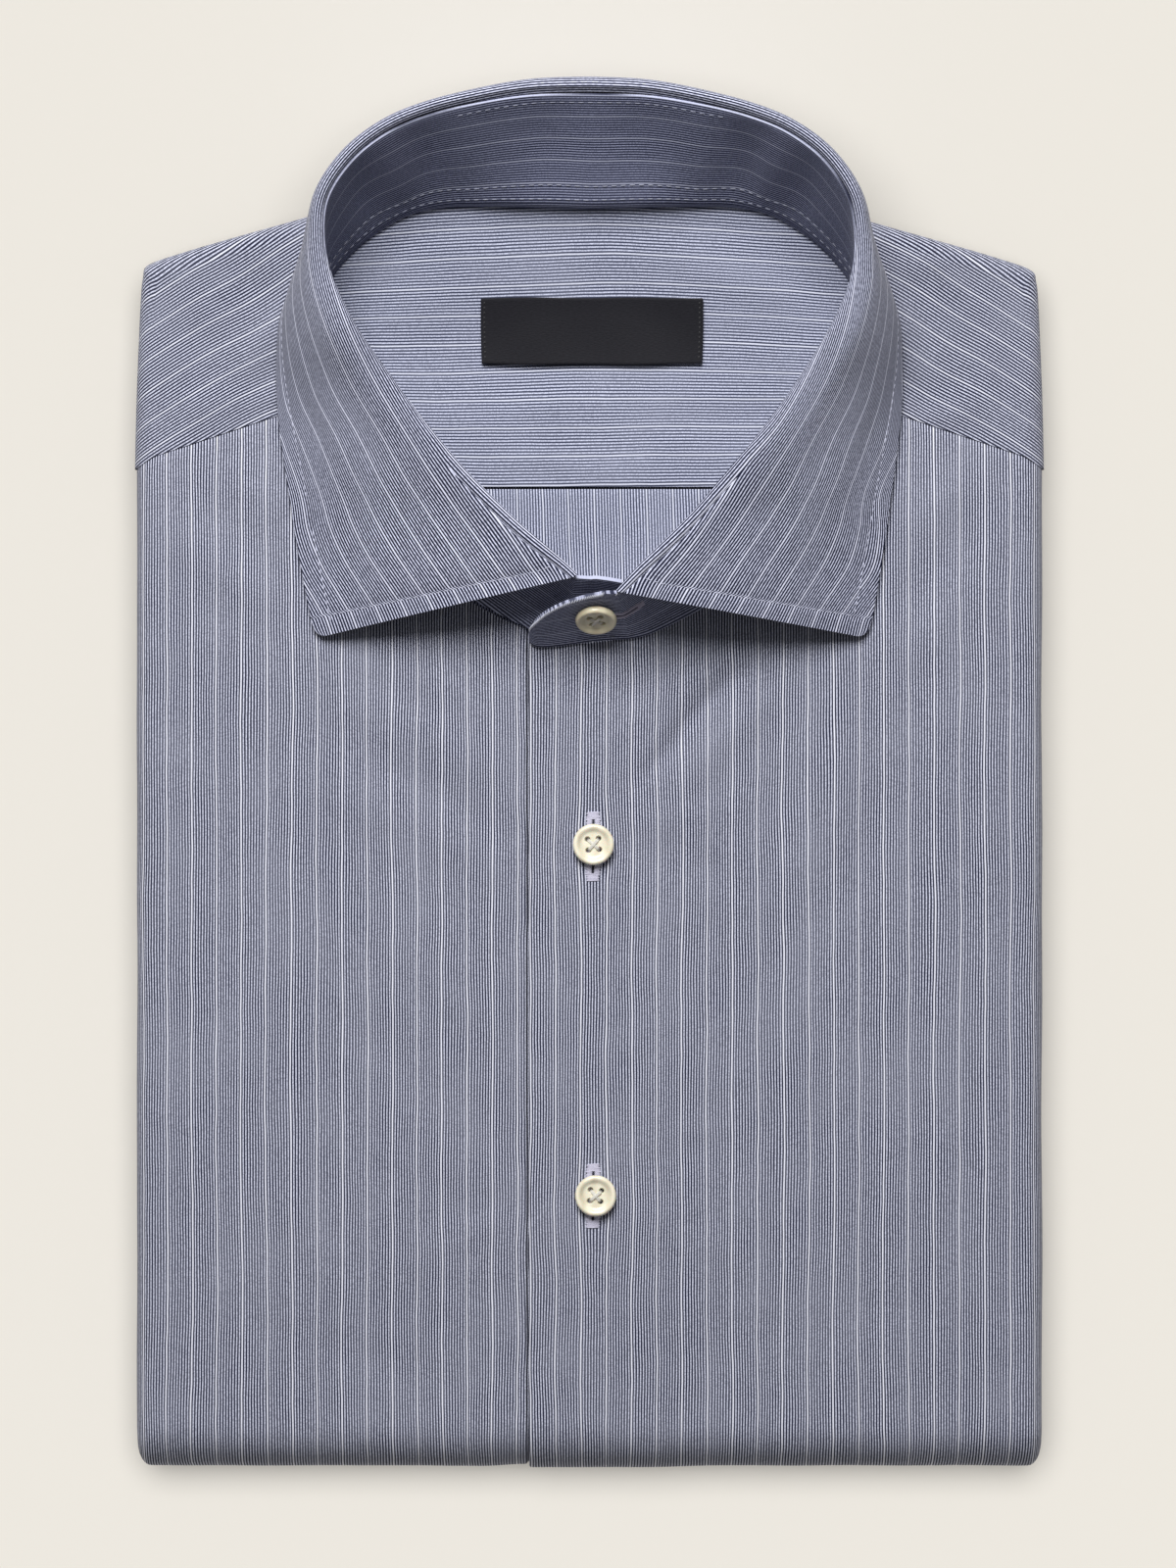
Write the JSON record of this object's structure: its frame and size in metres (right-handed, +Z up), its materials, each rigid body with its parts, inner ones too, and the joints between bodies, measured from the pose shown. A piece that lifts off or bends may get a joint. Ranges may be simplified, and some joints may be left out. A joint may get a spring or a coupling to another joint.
{
  "type": "folded dress shirt",
  "caption": "Striped cotton dress shirt folded flat for display, buttoned, with a standing collar band, a long-point collar leaf and a bare neck label.",
  "frame": {"origin": "middle of the underside, on the surface that the shirt lies on", "axes": "+X towards the wearer's left side, +Y from the bottom fold to the collar, +Z up from the surface"},
  "size_m": [0.2498, 0.3848, 0.0588],
  "materials": {
    "striped_cotton": "fine cotton with narrow navy and white stripes, soft sheen",
    "label_satin": "black satin, bare",
    "shell_button": "glossy ivory"
  },
  "bodies": {
    "root": {"front_left": "striped_cotton", "front_right": "striped_cotton", "yoke_outer": "striped_cotton", "yoke_inner": "striped_cotton", "back": "striped_cotton", "collar_stand": "striped_cotton", "collar_leaf": "striped_cotton", "folded_layers": "striped_cotton", "neck_label": "label_satin", "button_collar": "shell_button", "button_front_1": "shell_button", "button_front_2": "shell_button"}
  },
  "joints": []
}
